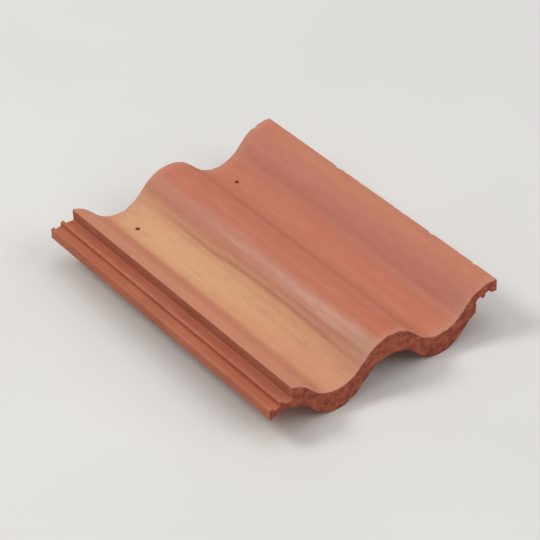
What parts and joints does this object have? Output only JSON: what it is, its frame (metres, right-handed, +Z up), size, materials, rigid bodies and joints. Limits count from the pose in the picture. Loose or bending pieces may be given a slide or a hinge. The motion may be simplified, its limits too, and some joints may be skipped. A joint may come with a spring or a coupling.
{
  "type": "roof tile",
  "caption": "Interlocking clay roof tile with rounded rolls and pans, a side lock along each edge, a deep square nose, nibs for the batten and nail holes.",
  "frame": {"origin": "middle of the footprint, on the floor that the nose lip and the nibs stand on", "axes": "+X across the slope to the right as seen from the eaves, +Y up the slope from nose to head, +Z up out of the roof"},
  "size_m": [0.33, 0.42, 0.0655],
  "materials": {
    "fired_clay": "matte"
  },
  "bodies": {
    "root": {"roof_tile": "fired_clay"}
  },
  "joints": []
}
